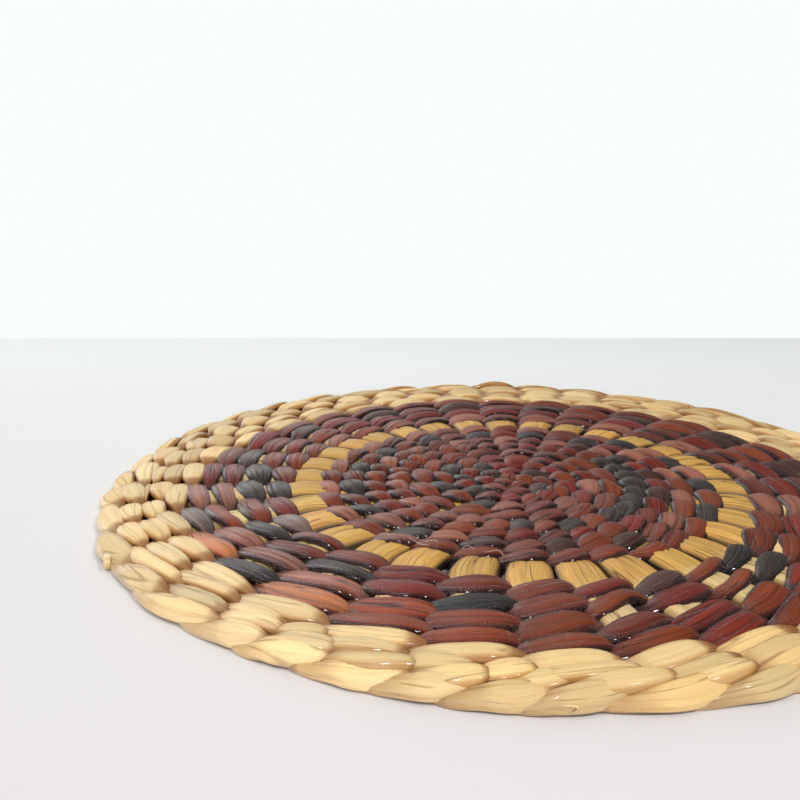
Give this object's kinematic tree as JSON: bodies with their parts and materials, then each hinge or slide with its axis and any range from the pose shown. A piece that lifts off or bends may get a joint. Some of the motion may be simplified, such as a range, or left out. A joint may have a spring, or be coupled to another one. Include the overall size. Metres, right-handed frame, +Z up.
{
  "type": "round water hyacinth placemat",
  "caption": "Round twined reed placemat: a dark dyed field with one open ring of bare pale spokes, and a broad natural border.",
  "frame": {"origin": "middle of the underside, on the table", "axes": "+Z up through the mat's thickness; -Y faces the viewer, with one spoke 14.3 degrees to its left"},
  "size_m": [0.3486, 0.3474, 0.0093],
  "materials": {
    "dyed_reed": "dried reed dyed dark brown, oxblood and near-black, lacquered",
    "natural_reed": "undyed straw-coloured dried reed, thinly lacquered"
  },
  "bodies": {
    "root": {"woven_field": "dyed_reed", "natural_border": "natural_reed"}
  },
  "joints": []
}
